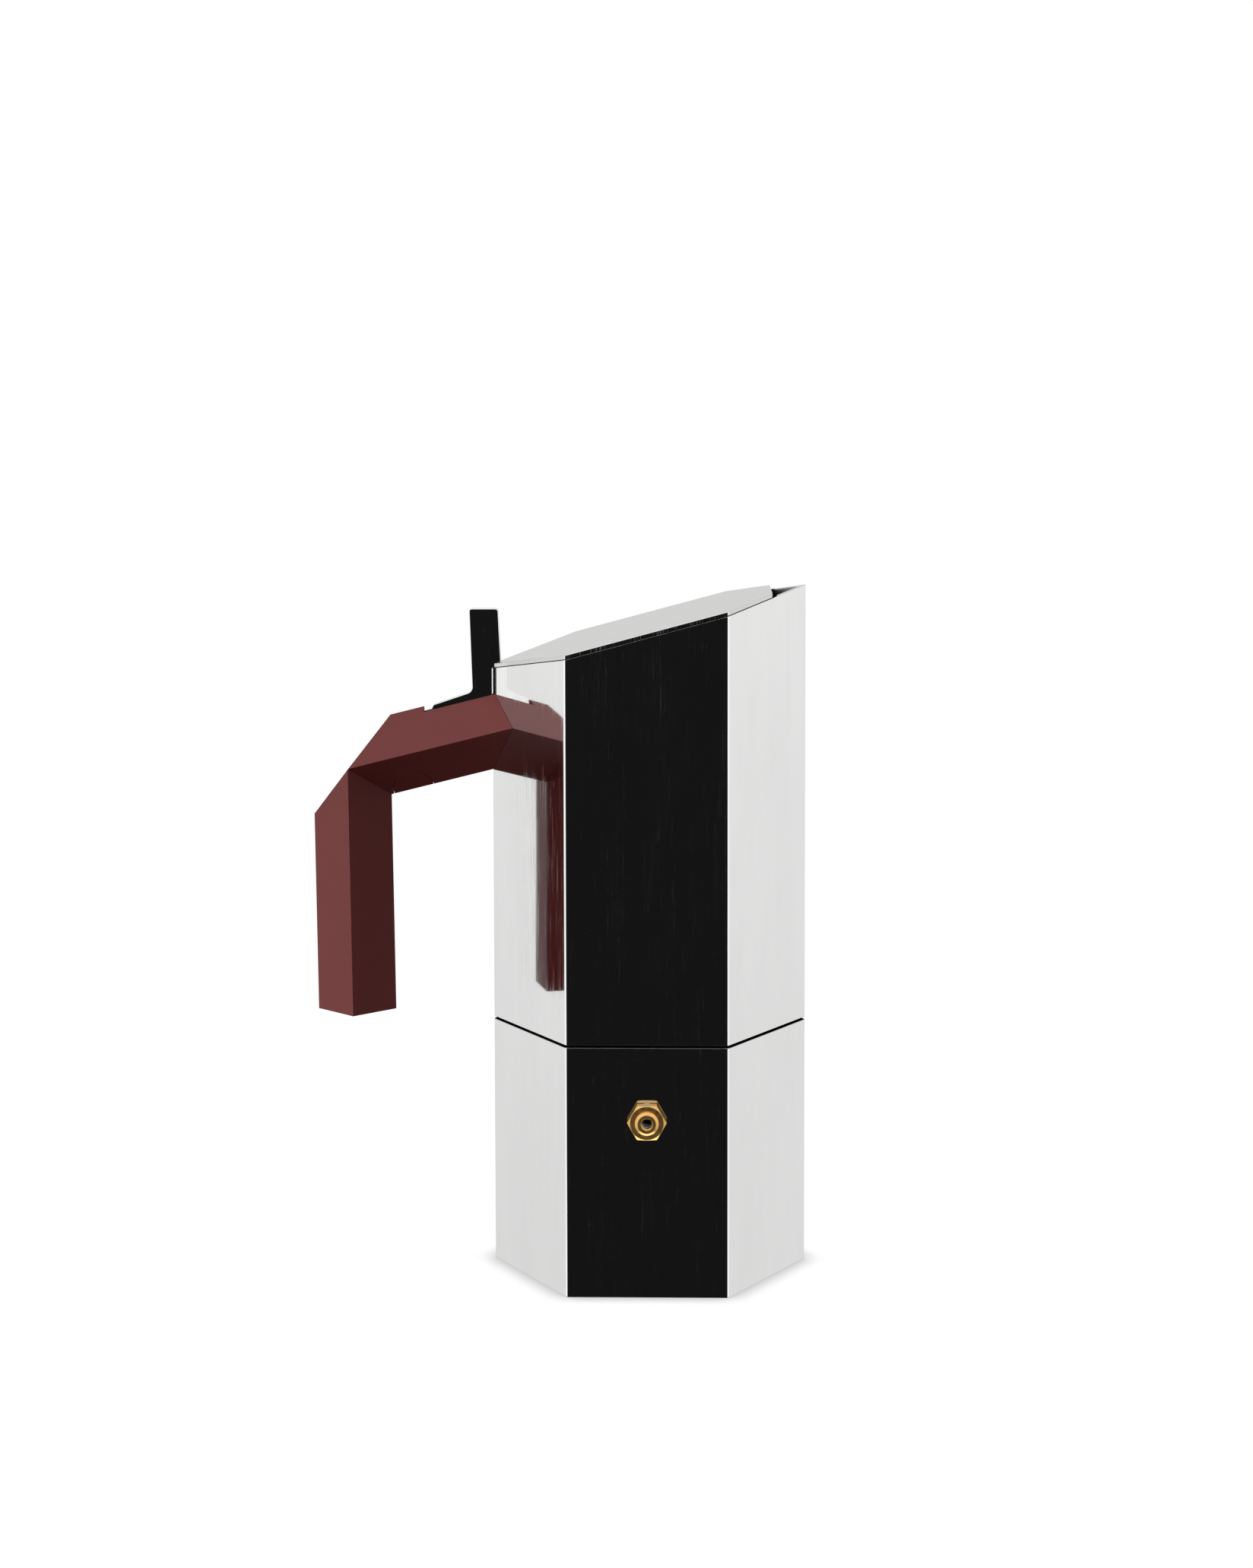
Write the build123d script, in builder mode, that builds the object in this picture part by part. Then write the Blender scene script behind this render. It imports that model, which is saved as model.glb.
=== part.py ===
from build123d import *

import os
from math import cos, radians, sin, sqrt, tan

os.makedirs("parts", exist_ok=True)

# Hexagonal stove-top coffee maker, in millimetres.
# Origin: centre of the hexagonal base. +X: spout, -X: handle, -Y: the face with the valve, +Z: up.

# Body
SIDE = 45.0                     # side of the hexagon, and its corner radius
APOTHEM = SIDE * sqrt(3) / 2    # centre to a flat
EDGE_ROUND = 1.2                # rounding of the upright edges
EDGE_BREAK = 0.15               # small chamfer on level edges
BOILER_TOP = 70.5
SEAM_GAP = 0.6                  # dark joint between boiler and collector
COLLECTOR_BASE = BOILER_TOP + SEAM_GAP
RIM_AT_AXIS = 184.3             # height of the slanted rim above the centre of the base
RIM_SLOPE = 15.0                # degrees, rising towards the spout
RIM_ROUND = 0.12                # softening of the rim and of the lid's upper edge
BOILER_WALL = 3.0
COLLECTOR_WALL = 2.0
INNER_ROUND = 2.5               # rounding of the upright corners inside
FIT_GAP = 0.05                  # between flat faces of pieces that only rest on each other

# Neck and seal
NECK_R = 33.5
NECK_BORE_R = 30.0
NECK_TOP = 80.5
NECK_CHAMFER = 0.5
SHOULDER = 4.0                  # thickness of the shoulder that carries the neck
SKIRT_BORE_R = 34.2
FLANGE_THICK = 0.8
GASKET_R = 33.9
GASKET_BORE_R = 26.8
GASKET_THICK = 3.0
GASKET_BASE = NECK_TOP + 2 * FIT_GAP + FLANGE_THICK
GASKET_TOP = GASKET_BASE + GASKET_THICK
PLATE_R = 30.3                  # filter plate
PLATE_THICK = 0.8
PLATE_HOLE_R = 0.6
PLATE_PITCH = 4.2
FLOOR_BASE = GASKET_TOP + FIT_GAP
FLOOR_TOP = FLOOR_BASE + 4.0

# Funnel
FLANGE_R = 33.0
BASKET_R = 29.6
BASKET_LEDGE = 1.2              # width of the ledge the perforated disc lies on
SHEET = 0.8
BASKET_BASE = 57.6
STEM_TOP = 44.0
STEM_R = 5.0
STEM_BASE = 8.0
SCREEN_THICK = 0.6
SCREEN_HOLE_R = 0.75
SCREEN_PITCH = 4.6
HOLES_REACH = 25.0              # radius of the perforated area of screen and filter plate

# Column
COLUMN_TOP = 150.0
COLUMN_BORE_R = 3.2
SPIGOT_R = 6.0
SPIGOT_BASE = FLOOR_BASE + 2.0
COLLAR_R = 8.5
COLLAR_THICK = 1.5
COLUMN_FOOT_R = 7.0             # the column tapers from here
COLUMN_NECK_R = 5.2             # to here
TIP_HEIGHT = 2.0                # of the bevelled tip
OUTLET_WIDTH = 3.0
OUTLET_TOP = COLUMN_TOP - 5.0
OUTLET_HEIGHT = 8.0

# Lid and its lever
LID_THICK = 1.05
LID_GAP = 0.2                   # between the rim and the lid
LID_BASE = RIM_AT_AXIS + LID_GAP
LID_CUT_X = 35.0                # the lid ends here and leaves the spout open
LID_CORNER_ROUND = 1.5          # corners beside the spout
PIVOT_X = -58.9
PIVOT_Z = 157.8
EYE_R = 2.9                     # hinge eye of the lever
LEVER_THICK = 2.6
LEVER_TIP_ROUND = 0.8
LEVER_FOOT_ROUND = 1.8          # hollow between upright and foot
LEVER_OUTLINE = [               # (x, z), from the top round the side that meets the lid
    (-51.47, 189.5),
    (-43.14, 189.5),
    (-42.39, 174.6),
    (-42.30, 173.2),
    (-45.0, 172.3),
    (-45.0, 162.5),
    (PIVOT_X, PIVOT_Z - EYE_R),
    (PIVOT_X - EYE_R, PIVOT_Z),
    (-62.38, 160.77),
    (-61.81, 161.90),
    (-50.65, 165.65),
]
LEVER_EDGE_ROUND = 0.25
PIN_R = 1.25
PIN_PLAY = 0.05
PIN_CHAMFER = 0.2

# Handle
HALF_DIAGONAL = 11.4            # of the square section, which stands on its edge
ARM_SLOPE = 14.0                # degrees, the arm rises towards the body
CORNER_X = -85.49               # where the centre lines of arm and grip meet
CORNER_Z = 144.5
GRIP_LEAN = 0.75                # degrees, the foot of the grip leans to the body
GRIP_BASE = 73.2
CORNER_CUT = (ARM_SLOPE + 90 + GRIP_LEAN) / 2   # degrees, slope of the flat on the outer corner
HANDLE_ROUND = 0.4
SLOT_WIDTH = 3.2
SLOT_END_X = -64.6
SLOT_DEPTH = 4.6                # below the pivot
PIN_FRONT = 3.4                 # depth of the blind end of the hinge pin's hole
PIN_LENGTH = 7.2
TONGUE_HALF_WIDTH = 5.0
TONGUE_LOW = -3.4               # offsets from the arm's centre line
TONGUE_HIGH = 0.4
SCREW_ALONG = 15.6              # from the handle's corner along the arm to the screw
TONGUE_START = SCREW_ALONG - 5.0
SCREW_R = 1.75
SCREW_PLAY = 0.15
SCREW_HEAD_R = 3.1
SCREW_HEAD_THICK = 1.8
SCREW_HEAD_CHAMFER = 0.3
SOCKET_FLATS = 2.5              # hexagon socket of the screw
SOCKET_DEPTH = 1.2
LOCK_WASHER_R = 3.8
LOCK_WASHER_THICK = 0.6
LOCK_WASHER_SPLIT = 0.5
CAP_R = 5.75
CAP_PLAY = 0.20                 # parting line round the cap
CAP_SEAT = -4.6                 # offset of the cap's flat seat
CAP_WASHER_ROOM_R = 4.1         # hollow of the cap over the washer
CAP_HEAD_ROOM_R = 3.3           # and over the screw's head
CAP_ROOM = 0.2                  # clear height over washer and head
HEAD_SEAT = CAP_SEAT - LOCK_WASHER_THICK

# Valve; depths are counted outwards from the face of the boiler
VALVE_Z = 50.2
VALVE_FLATS = 9.5
VALVE_SHANK_R = 3.35
VALVE_BORE_R = 1.9
VALVE_SLEEVE_R = 6.7            # thickening of the boiler's wall behind the valve
VALVE_SEAT = -6.0
VALVE_END = -7.5
WASHER_R = 4.65
WASHER_THICK = 0.5
HEX_TOP = 3.6
HEX_FACE_R = 4.65               # circle where the hexagon's bevel starts
HEX_BEVEL = 0.6                 # depth of the bevel
HEX_BEVEL_RUN = 1.0             # over this width
NOSE_R = 3.3
NOSE_TOP = 5.0
NOSE_BEVEL = 0.75
RETAINER_BORE_R = 1.4
RETAINER_THICK = 0.8
RETAINER_BASE = 3.9
RETAINER_BEVEL = 0.3
SEAL_THICK = 0.8
PLUNGER_BASE = VALVE_SEAT + SEAL_THICK
PLUNGER_TOP = PLUNGER_BASE + 1.6
PLUNGER_STEM_R = 0.95
PLUNGER_STEM_TOP = PLUNGER_TOP + 2.5
SPRING_WIRE_R = 0.2
SPRING_COIL_R = 1.5
SPRING_TURNS = 5
SPRING_LOW = PLUNGER_TOP + SPRING_WIRE_R + FIT_GAP
SPRING_HIGH = RETAINER_BASE - SPRING_WIRE_R - FIT_GAP


def hexagon_prism(radius, rounding, low, high):
    """Upright hexagonal prism with rounded upright edges."""
    with BuildPart() as prism:
        with BuildSketch(Plane.XY.offset(low)) as outline:
            RegularPolygon(radius=radius, side_count=6)
            fillet(outline.vertices(), radius=rounding)
        extrude(amount=high - low)
    return prism.part


def slanted_plane(height):
    """Plane parallel to the rim that crosses the axis at this height."""
    slope = radians(RIM_SLOPE)
    return Plane(origin=(0, 0, height), x_dir=(cos(slope), 0, sin(slope)), z_dir=(-sin(slope), 0, cos(slope)))


def valve_plane(depth):
    """Plane square to the valve's axis, looking outwards, at a depth from the boiler's face."""
    return Plane(origin=(0, -APOTHEM - depth, VALVE_Z), x_dir=(1, 0, 0), z_dir=(0, -1, 0))


def arm_point(along, offset):
    """Point in the handle's middle plane, from the corner along the arm and square to it."""
    slope = radians(ARM_SLOPE)
    x = CORNER_X + along * cos(slope) - offset * sin(slope)
    z = CORNER_Z + along * sin(slope) + offset * cos(slope)
    return (x, 0, z)


def arm_section(along):
    """Plane square to the arm: local x is +Y, local y points up, z points to the body."""
    slope = radians(ARM_SLOPE)
    return Plane(origin=arm_point(along, 0), x_dir=(0, 1, 0), z_dir=(cos(slope), 0, sin(slope)))


def screw_plane(offset):
    """Plane square to the handle screw, looking up, at an offset from the arm's centre line."""
    slope = radians(ARM_SLOPE)
    return Plane(
        origin=arm_point(SCREW_ALONG, offset),
        x_dir=(cos(slope), 0, sin(slope)),
        z_dir=(-sin(slope), 0, cos(slope)),
    )


def perforation(pitch):
    """Centres of a triangular grid of holes inside the perforated area."""
    rows = int(HOLES_REACH / (pitch * sqrt(3) / 2))
    centres = []
    for row in range(-rows, rows + 1):
        shift = pitch / 2 * (row % 2)
        for step in range(-rows, rows + 1):
            x = step * pitch + shift
            y = row * pitch * sqrt(3) / 2
            if x * x + y * y < HOLES_REACH * HOLES_REACH:
                centres.append((x, y))
    return centres


# Boiler: hexagonal vessel with a round neck and a boss for the valve.
BOILER_CAVITY_R = SIDE - BOILER_WALL / cos(radians(30))
with BuildPart() as boiler:
    add(hexagon_prism(SIDE, EDGE_ROUND, 0, BOILER_TOP))
    chamfer(boiler.faces().sort_by(Axis.Z)[-1].edges(), length=EDGE_BREAK)
    chamfer(boiler.faces().sort_by(Axis.Z)[0].edges(), length=EDGE_BREAK)
    with BuildSketch(Plane.XY.offset(BOILER_TOP)):
        Circle(NECK_R)
    extrude(amount=NECK_TOP - BOILER_TOP)
    chamfer(boiler.faces().sort_by(Axis.Z)[-1].edges(), length=NECK_CHAMFER)
    add(
        hexagon_prism(BOILER_CAVITY_R, INNER_ROUND, BOILER_WALL, BOILER_TOP - SHOULDER),
        mode=Mode.SUBTRACT,
    )
    with BuildSketch(Plane.XY.offset(BOILER_TOP - SHOULDER)):
        Circle(NECK_BORE_R)
    extrude(amount=NECK_TOP - BOILER_TOP + SHOULDER, mode=Mode.SUBTRACT)
    with BuildSketch(valve_plane(VALVE_SEAT)):
        Circle(VALVE_SLEEVE_R)
    extrude(amount=-VALVE_SEAT - BOILER_WALL / 2)
    with BuildSketch(valve_plane(VALVE_SEAT)):
        Circle(VALVE_SHANK_R + FIT_GAP / 2)
    extrude(amount=-VALVE_SEAT, mode=Mode.SUBTRACT)
boiler.part.label = "boiler"
export_step(boiler.part, "parts/boiler.step")

# Safety valve: washer, brass body with a hexagon, seal, plunger, spring and retainer ring.
with BuildPart() as valve_washer:
    with BuildSketch(valve_plane(0)):
        Circle(WASHER_R)
        Circle(VALVE_SHANK_R + FIT_GAP, mode=Mode.SUBTRACT)
    extrude(amount=WASHER_THICK - FIT_GAP)
valve_washer.part.label = "valve_washer"
export_step(valve_washer.part, "parts/valve_washer.step")

with BuildPart() as valve_body:
    with BuildSketch(valve_plane(WASHER_THICK)):
        RegularPolygon(radius=VALVE_FLATS / 2, side_count=6, major_radius=False)
    extrude(amount=HEX_TOP - WASHER_THICK)
    with BuildSketch(Plane.YZ):
        with BuildLine():
            Polyline(
                (-APOTHEM - HEX_TOP, VALVE_Z + HEX_FACE_R),
                (-APOTHEM - HEX_TOP, VALVE_Z + HEX_FACE_R + HEX_BEVEL_RUN),
                (-APOTHEM - HEX_TOP + HEX_BEVEL, VALVE_Z + HEX_FACE_R + HEX_BEVEL_RUN),
                close=True,
            )
        make_face()
    revolve(axis=Axis((0, 0, VALVE_Z), (0, 1, 0)), mode=Mode.SUBTRACT)
    with BuildSketch(valve_plane(VALVE_END)):
        Circle(VALVE_SHANK_R)
    extrude(amount=HEX_TOP - VALVE_END)
    with BuildSketch(valve_plane(HEX_TOP)):
        Circle(NOSE_R)
    extrude(amount=NOSE_TOP - HEX_TOP)
    chamfer(valve_body.faces().sort_by(Axis.Y)[0].edges(), length=NOSE_BEVEL)
    with BuildSketch(valve_plane(VALVE_SEAT)):
        Circle(VALVE_BORE_R)
    extrude(amount=NOSE_TOP - VALVE_SEAT, mode=Mode.SUBTRACT)
    with BuildSketch(valve_plane(VALVE_END)):
        Circle(VALVE_BORE_R / 2)
    extrude(amount=VALVE_SEAT - VALVE_END, mode=Mode.SUBTRACT)
valve_body.part.label = "valve_body"
export_step(valve_body.part, "parts/valve_body.step")

with BuildPart() as valve_seal:
    with BuildSketch(valve_plane(VALVE_SEAT + FIT_GAP)):
        Circle(VALVE_BORE_R - PIN_PLAY)
        Circle(PLUNGER_STEM_R, mode=Mode.SUBTRACT)
    extrude(amount=SEAL_THICK - FIT_GAP)
valve_seal.part.label = "valve_seal"
export_step(valve_seal.part, "parts/valve_seal.step")

with BuildPart() as valve_plunger:
    with BuildSketch(valve_plane(PLUNGER_BASE)):
        Circle(VALVE_BORE_R - PIN_PLAY)
    extrude(amount=PLUNGER_TOP - PLUNGER_BASE)
    with BuildSketch(valve_plane(VALVE_SEAT + FIT_GAP)):
        Circle(PLUNGER_STEM_R - PIN_PLAY)
    extrude(amount=PLUNGER_STEM_TOP - VALVE_SEAT - FIT_GAP)
valve_plunger.part.label = "valve_plunger"
export_step(valve_plunger.part, "parts/valve_plunger.step")

with BuildPart() as valve_spring:
    with BuildLine() as coil:
        Helix(
            pitch=(SPRING_HIGH - SPRING_LOW) / SPRING_TURNS,
            height=SPRING_HIGH - SPRING_LOW,
            radius=SPRING_COIL_R,
            center=(0, -APOTHEM - SPRING_LOW, VALVE_Z),
            direction=(0, -1, 0),
        )
    with BuildSketch(Plane(origin=coil.line @ 0, z_dir=coil.line % 0)):
        Circle(SPRING_WIRE_R)
    sweep(path=coil.line, is_frenet=True)
valve_spring.part.label = "valve_spring"
export_step(valve_spring.part, "parts/valve_spring.step")

with BuildPart() as valve_retainer:
    with BuildSketch(valve_plane(RETAINER_BASE)):
        Circle(VALVE_BORE_R)
        Circle(RETAINER_BORE_R, mode=Mode.SUBTRACT)
    extrude(amount=RETAINER_THICK)
    mouth = valve_retainer.faces().sort_by(Axis.Y)[0].edges().sort_by(SortBy.RADIUS)[0]
    chamfer(mouth, length=RETAINER_BEVEL)
valve_retainer.part.label = "valve_retainer"
export_step(valve_retainer.part, "parts/valve_retainer.step")

# Funnel: flange, coffee basket and stem, one thin shell turned about the axis.
FLANGE_BASE = NECK_TOP + FIT_GAP
FLANGE_TOP = FLANGE_BASE + FLANGE_THICK
with BuildPart() as funnel:
    with BuildSketch(Plane.XZ):
        with BuildLine():
            Polyline(
                (BASKET_R - SHEET, FLANGE_TOP),
                (FLANGE_R, FLANGE_TOP),
                (FLANGE_R, FLANGE_BASE),
                (BASKET_R, FLANGE_BASE),
                (BASKET_R, BASKET_BASE - SHEET / 2),
                (STEM_R, STEM_TOP - SHEET / 2),
                (STEM_R, STEM_BASE),
                (STEM_R - SHEET, STEM_BASE),
                (STEM_R - SHEET, STEM_TOP),
                (BASKET_R - SHEET - BASKET_LEDGE, BASKET_BASE),
                (BASKET_R - SHEET, BASKET_BASE),
                close=True,
            )
        make_face()
    revolve(axis=Axis.Z)
funnel.part.label = "funnel"
export_step(funnel.part, "parts/funnel.step")

# Perforated disc at the bottom of the basket.
with BuildPart() as funnel_screen:
    with BuildSketch(Plane.XY.offset(BASKET_BASE + FIT_GAP)):
        Circle(BASKET_R - SHEET - FIT_GAP)
        with Locations(*perforation(SCREEN_PITCH)):
            Circle(SCREEN_HOLE_R, mode=Mode.SUBTRACT)
    extrude(amount=SCREEN_THICK)
funnel_screen.part.label = "funnel_screen"
export_step(funnel_screen.part, "parts/funnel_screen.step")

# Rubber ring with a step that holds the filter plate.
with BuildPart() as gasket:
    with BuildSketch(Plane.XY.offset(GASKET_BASE)):
        Circle(GASKET_R)
        Circle(GASKET_BORE_R, mode=Mode.SUBTRACT)
    extrude(amount=GASKET_THICK)
    with BuildSketch(Plane.XY.offset(GASKET_TOP - PLATE_THICK)):
        Circle(PLATE_R + FIT_GAP)
    extrude(amount=PLATE_THICK, mode=Mode.SUBTRACT)
gasket.part.label = "gasket"
export_step(gasket.part, "parts/gasket.step")

with BuildPart() as filter_plate:
    with BuildSketch(Plane.XY.offset(GASKET_TOP - PLATE_THICK)):
        Circle(PLATE_R)
        with Locations(*perforation(PLATE_PITCH)):
            Circle(PLATE_HOLE_R, mode=Mode.SUBTRACT)
    extrude(amount=PLATE_THICK)
filter_plate.part.label = "filter_plate"
export_step(filter_plate.part, "parts/filter_plate.step")

# Column: tapered riser tube with two side outlets under its closed top.
with BuildPart() as column:
    with BuildSketch(Plane.XZ):
        with BuildLine():
            Polyline(
                (0, SPIGOT_BASE),
                (SPIGOT_R, SPIGOT_BASE),
                (SPIGOT_R, FLOOR_TOP + FIT_GAP),
                (COLLAR_R, FLOOR_TOP + FIT_GAP),
                (COLLAR_R, FLOOR_TOP + COLLAR_THICK),
                (COLUMN_FOOT_R, FLOOR_TOP + 2 * COLLAR_THICK),
                (COLUMN_NECK_R, COLUMN_TOP - TIP_HEIGHT),
                (COLUMN_NECK_R - TIP_HEIGHT, COLUMN_TOP),
                (0, COLUMN_TOP),
                close=True,
            )
        make_face()
    revolve(axis=Axis.Z)
    with BuildSketch(Plane.XY.offset(SPIGOT_BASE)):
        Circle(COLUMN_BORE_R)
    extrude(amount=OUTLET_TOP - SPIGOT_BASE, mode=Mode.SUBTRACT)
    with BuildSketch(Plane.XY.offset(OUTLET_TOP - OUTLET_HEIGHT)):
        Rectangle(OUTLET_WIDTH, 4 * COLUMN_BORE_R)
    extrude(amount=OUTLET_HEIGHT, mode=Mode.SUBTRACT)
column.part.label = "column"
export_step(column.part, "parts/column.step")

# Collector: hexagonal jug with a slanted rim, a round skirt over the neck and a tongue in the handle.
COLLECTOR_CAVITY_R = SIDE - COLLECTOR_WALL / cos(radians(30))
TALL = RIM_AT_AXIS + SIDE
with BuildPart() as collector:
    add(hexagon_prism(SIDE, EDGE_ROUND, COLLECTOR_BASE, TALL))
    chamfer(collector.faces().sort_by(Axis.Z)[0].edges(), length=EDGE_BREAK)
    split(bisect_by=slanted_plane(RIM_AT_AXIS), keep=Keep.BOTTOM)
    fillet(collector.faces().sort_by(Axis.Z)[-1].edges(), radius=RIM_ROUND)
    with BuildSketch(arm_section(TONGUE_START)):
        with Locations((0, (TONGUE_LOW + TONGUE_HIGH) / 2)):
            Rectangle(2 * TONGUE_HALF_WIDTH, TONGUE_HIGH - TONGUE_LOW)
    extrude(amount=SIDE - TONGUE_START)
    add(hexagon_prism(COLLECTOR_CAVITY_R, INNER_ROUND, FLOOR_TOP, TALL), mode=Mode.SUBTRACT)
    with BuildSketch(Plane.XY.offset(COLLECTOR_BASE)):
        Circle(SKIRT_BORE_R)
    extrude(amount=FLOOR_BASE - COLLECTOR_BASE, mode=Mode.SUBTRACT)
    with BuildSketch(Plane.XZ):
        with BuildLine():
            Polyline(
                (0, FLOOR_BASE),
                (GASKET_BORE_R, FLOOR_BASE),
                (COLLAR_R, SPIGOT_BASE),
                (0, SPIGOT_BASE),
                close=True,
            )
        make_face()
    revolve(axis=Axis.Z, mode=Mode.SUBTRACT)
    with BuildSketch(Plane.XY.offset(SPIGOT_BASE)):
        Circle(SPIGOT_R + PIN_PLAY)
    extrude(amount=FLOOR_TOP - SPIGOT_BASE, mode=Mode.SUBTRACT)
    with BuildSketch(screw_plane(TONGUE_LOW)):
        Circle(SCREW_R + FIT_GAP / 2)
    extrude(amount=TONGUE_HIGH - TONGUE_LOW, mode=Mode.SUBTRACT)
collector.part.label = "collector"
export_step(collector.part, "parts/collector.step")

# Handle: square section on edge, mitred at the corner, with a flat across the outer corner.
GRIP_DIR = (-sin(radians(GRIP_LEAN)), 0, cos(radians(GRIP_LEAN)))
GRIP_FOOT_X = CORNER_X + (CORNER_Z - GRIP_BASE) * tan(radians(GRIP_LEAN))
DIAMOND_SIDE = HALF_DIAGONAL * sqrt(2)
ARM_REACH = 60.0                # length of arm before it is cut to the body's corner
MITRE_SPARE = 2 * HALF_DIAGONAL
CUT_ALONG = (cos(radians(CORNER_CUT)), 0, sin(radians(CORNER_CUT)))
CUT_OUT = (-sin(radians(CORNER_CUT)), 0, cos(radians(CORNER_CUT)))
CORNER = (CORNER_X, 0, CORNER_Z)
MITRE_PLANE = Plane(origin=CORNER, x_dir=(0, 1, 0), z_dir=CUT_ALONG)
CORNER_PLANE = Plane(origin=CORNER, x_dir=(0, 1, 0), z_dir=CUT_OUT).offset(-FIT_GAP)
GRIP_FOOT = Plane(origin=(GRIP_FOOT_X, 0, GRIP_BASE), x_dir=(0, 1, 0), z_dir=GRIP_DIR)


def arm_bar():
    """Square bar of the arm, on edge, mitred at the corner."""
    with BuildPart() as bar:
        with BuildSketch(arm_section(-MITRE_SPARE)):
            Rectangle(DIAMOND_SIDE, DIAMOND_SIDE, rotation=45)
        extrude(amount=ARM_REACH + MITRE_SPARE)
        split(bisect_by=MITRE_PLANE, keep=Keep.TOP)
    return bar.part


def grip_bar():
    """Square bar of the grip, on edge, mitred at the corner and cut level at its foot."""
    with BuildPart() as bar:
        with BuildSketch(GRIP_FOOT.offset(-MITRE_SPARE)):
            Rectangle(DIAMOND_SIDE, DIAMOND_SIDE, rotation=45)
        extrude(amount=CORNER_Z - GRIP_BASE + 2 * MITRE_SPARE)
        split(bisect_by=MITRE_PLANE, keep=Keep.BOTTOM)
        split(bisect_by=Plane.XY.offset(GRIP_BASE), keep=Keep.TOP)
    return bar.part


def handle_blank():
    """Outer shape of the handle, with its ridges and the foot of the grip rounded."""
    with BuildPart() as blank:
        add(arm_bar())
        add(grip_bar())
        split(bisect_by=CORNER_PLANE, keep=Keep.BOTTOM)
        ridges = blank.edges().filter_by(lambda edge: abs(edge.center().Y) < FIT_GAP)
        long_ridges = ridges.filter_by(lambda edge: edge.length > HALF_DIAGONAL)
        fillet(long_ridges, radius=HANDLE_ROUND)
    return blank.part


with BuildPart() as handle:
    add(handle_blank())
    add(hexagon_prism(SIDE + FIT_GAP, EDGE_ROUND, GRIP_BASE, TALL), mode=Mode.SUBTRACT)
    with BuildSketch(Plane.XZ):
        with BuildLine():
            Polyline(
                (SLOT_END_X, PIVOT_Z + SIDE),
                (SLOT_END_X, PIVOT_Z - SLOT_DEPTH),
                (PIVOT_X, PIVOT_Z - SLOT_DEPTH),
                (-APOTHEM, PIVOT_Z),
                (-APOTHEM, PIVOT_Z + SIDE),
                close=True,
            )
        make_face()
    extrude(amount=SLOT_WIDTH / 2, both=True, mode=Mode.SUBTRACT)
    with BuildSketch(Plane.XZ.offset(PIN_FRONT)):
        with Locations((PIVOT_X, PIVOT_Z)):
            Circle(PIN_R + FIT_GAP / 5)
    extrude(amount=-PIN_FRONT - HALF_DIAGONAL, mode=Mode.SUBTRACT)
    with BuildSketch(arm_section(TONGUE_START - FIT_GAP)):
        with Locations((0, (TONGUE_LOW + TONGUE_HIGH) / 2)):
            Rectangle(
                2 * (TONGUE_HALF_WIDTH + FIT_GAP),
                TONGUE_HIGH - TONGUE_LOW + 2 * FIT_GAP,
            )
    extrude(amount=ARM_REACH, mode=Mode.SUBTRACT)
    with BuildSketch(screw_plane(CAP_SEAT)):
        Circle(CAP_R + CAP_PLAY)
    extrude(amount=-2 * HALF_DIAGONAL, mode=Mode.SUBTRACT)
    with BuildSketch(screw_plane(CAP_SEAT)):
        Circle(SCREW_R + SCREW_PLAY)
    extrude(amount=TONGUE_LOW - CAP_SEAT, mode=Mode.SUBTRACT)
handle.part.label = "handle"
export_step(handle.part, "parts/handle.step")

# Screw that clamps the handle to the tongue, its washer, and the plug that hides them.
with BuildPart() as handle_lock_washer:
    with BuildSketch(screw_plane(HEAD_SEAT)):
        Circle(LOCK_WASHER_R)
        Circle(SCREW_R + SCREW_PLAY, mode=Mode.SUBTRACT)
        with Locations((LOCK_WASHER_R, 0)):
            Rectangle(2 * LOCK_WASHER_R, LOCK_WASHER_SPLIT, mode=Mode.SUBTRACT)
    extrude(amount=LOCK_WASHER_THICK - FIT_GAP)
handle_lock_washer.part.label = "handle_lock_washer"
export_step(handle_lock_washer.part, "parts/handle_lock_washer.step")

with BuildPart() as handle_screw:
    with BuildSketch(screw_plane(HEAD_SEAT - SCREW_HEAD_THICK)):
        Circle(SCREW_HEAD_R)
    extrude(amount=SCREW_HEAD_THICK - FIT_GAP)
    chamfer(handle_screw.faces().sort_by(Axis.Z)[0].edges(), length=SCREW_HEAD_CHAMFER)
    with BuildSketch(screw_plane(HEAD_SEAT - SCREW_HEAD_THICK)):
        RegularPolygon(radius=SOCKET_FLATS / 2, side_count=6, major_radius=False)
    extrude(amount=SOCKET_DEPTH, mode=Mode.SUBTRACT)
    with BuildSketch(screw_plane(HEAD_SEAT - FIT_GAP)):
        Circle(SCREW_R)
    extrude(amount=TONGUE_HIGH - HEAD_SEAT)
handle_screw.part.label = "handle_screw"
export_step(handle_screw.part, "parts/handle_screw.step")

with BuildPart() as handle_screw_cap:
    with BuildSketch(screw_plane(CAP_SEAT - FIT_GAP)):
        Circle(CAP_R)
    extrude(amount=-2 * HALF_DIAGONAL)
    add(handle_blank(), mode=Mode.INTERSECT)
    with BuildSketch(screw_plane(CAP_SEAT)):
        Circle(CAP_WASHER_ROOM_R)
    extrude(amount=-LOCK_WASHER_THICK - CAP_ROOM, mode=Mode.SUBTRACT)
    with BuildSketch(screw_plane(CAP_SEAT)):
        Circle(CAP_HEAD_ROOM_R)
    extrude(amount=-LOCK_WASHER_THICK - SCREW_HEAD_THICK - CAP_ROOM, mode=Mode.SUBTRACT)
handle_screw_cap.part.label = "handle_screw_cap"
export_step(handle_screw_cap.part, "parts/handle_screw_cap.step")

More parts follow.
